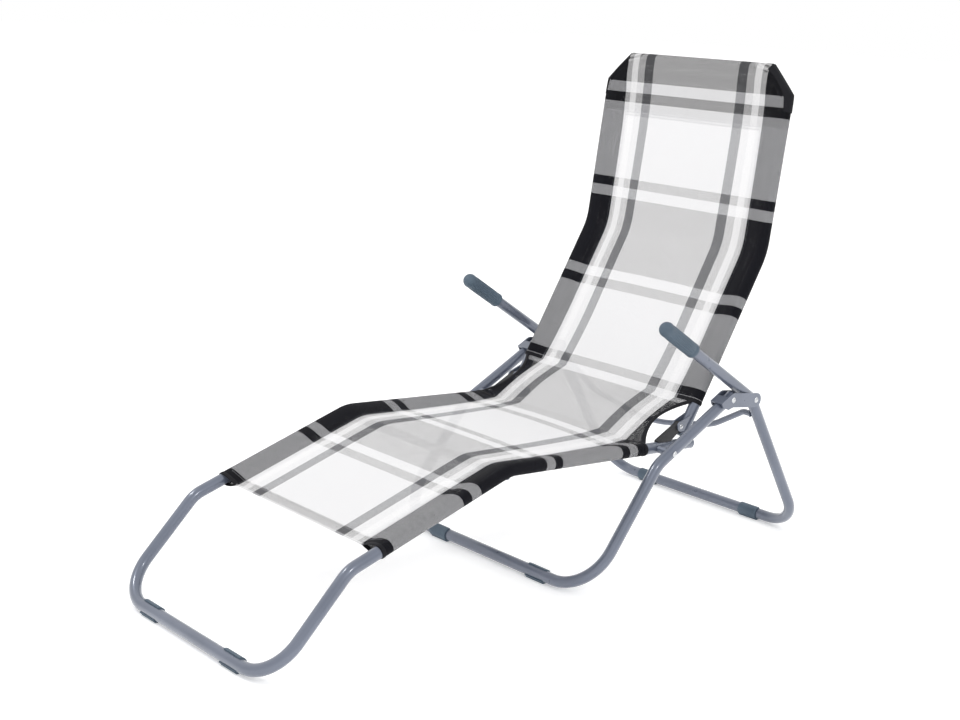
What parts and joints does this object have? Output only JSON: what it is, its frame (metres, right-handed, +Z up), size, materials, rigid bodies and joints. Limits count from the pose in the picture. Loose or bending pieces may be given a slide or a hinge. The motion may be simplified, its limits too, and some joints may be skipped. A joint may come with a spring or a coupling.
{
  "type": "reclining sun lounger",
  "caption": "Folding and tilting garden lounger: bent tube frames, a stretched mesh sling seat and back, tube arms with grips, and a bowed stop rod behind.",
  "frame": {"origin": "middle of the overall box, on the floor", "axes": "+X across the width, +Y from the foot end towards the head end, +Z up"},
  "size_m": [0.57, 1.312, 0.9561],
  "materials": {
    "frame_steel": "satin blue-grey coating",
    "trim_plastic": "moulded slate-blue plastic",
    "zinc": "zinc-plated steel",
    "hinge_black": "black moulded nylon",
    "sling_mesh": "coated mesh weave in a black and white plaid"
  },
  "bodies": {
    "front_legs": {"front_leg_frame": "frame_steel", "front_clip_left": "trim_plastic", "front_clip_right": "trim_plastic", "tilt_rivet_left": "zinc", "tilt_rivet_right": "zinc", "tilt_spacer_left": "frame_steel", "tilt_spacer_right": "frame_steel"},
    "seat": {"seat_frame": "frame_steel", "knee_bar": "frame_steel", "foot_clip_left": "trim_plastic", "foot_clip_right": "trim_plastic", "rail_plug_left": "trim_plastic", "rail_plug_right": "trim_plastic", "hip_lug_left": "hinge_black", "hip_lug_right": "hinge_black", "lug_screw_left": "zinc", "lug_screw_right": "zinc", "sling_seat": "sling_mesh", "sling_hip": "sling_mesh"},
    "back": {"back_frame": "frame_steel", "back_ears_left": "frame_steel", "back_ears_right": "frame_steel", "hip_pin_left": "zinc", "hip_pin_right": "zinc", "back_plug_left": "trim_plastic", "back_plug_right": "trim_plastic", "sling_back": "sling_mesh"},
    "rear_legs": {"rear_leg_frame": "frame_steel", "leg_bracket_left": "frame_steel", "leg_bracket_right": "frame_steel", "leg_pivot_left": "zinc", "leg_pivot_right": "zinc", "bracket_rivet_left": "zinc", "bracket_rivet_right": "zinc", "grip_left": "trim_plastic", "grip_right": "trim_plastic", "rear_clip_left": "trim_plastic", "rear_clip_right": "trim_plastic", "stop_rod": "frame_steel"}
  },
  "joints": [
    {"name": "lounger_tilt", "type": "hinge", "parent": "front_legs", "child": "seat", "pos_m": [0, 0.22, 0.24677], "axis": [-1, 0, 0], "range_deg": [0, 33]},
    {"name": "back_fold", "type": "hinge", "parent": "seat", "child": "back", "pos_m": [0, 0.284, 0.28], "axis": [1, 0, 0], "range_deg": [0, 110], "deforming": ["sling_hip"]},
    {"name": "base_fold", "type": "hinge", "parent": "front_legs", "child": "rear_legs", "pos_m": [0, 0.3777, 0.32828], "axis": [-1, 0, 0], "range_deg": [0, 60]}
  ]
}
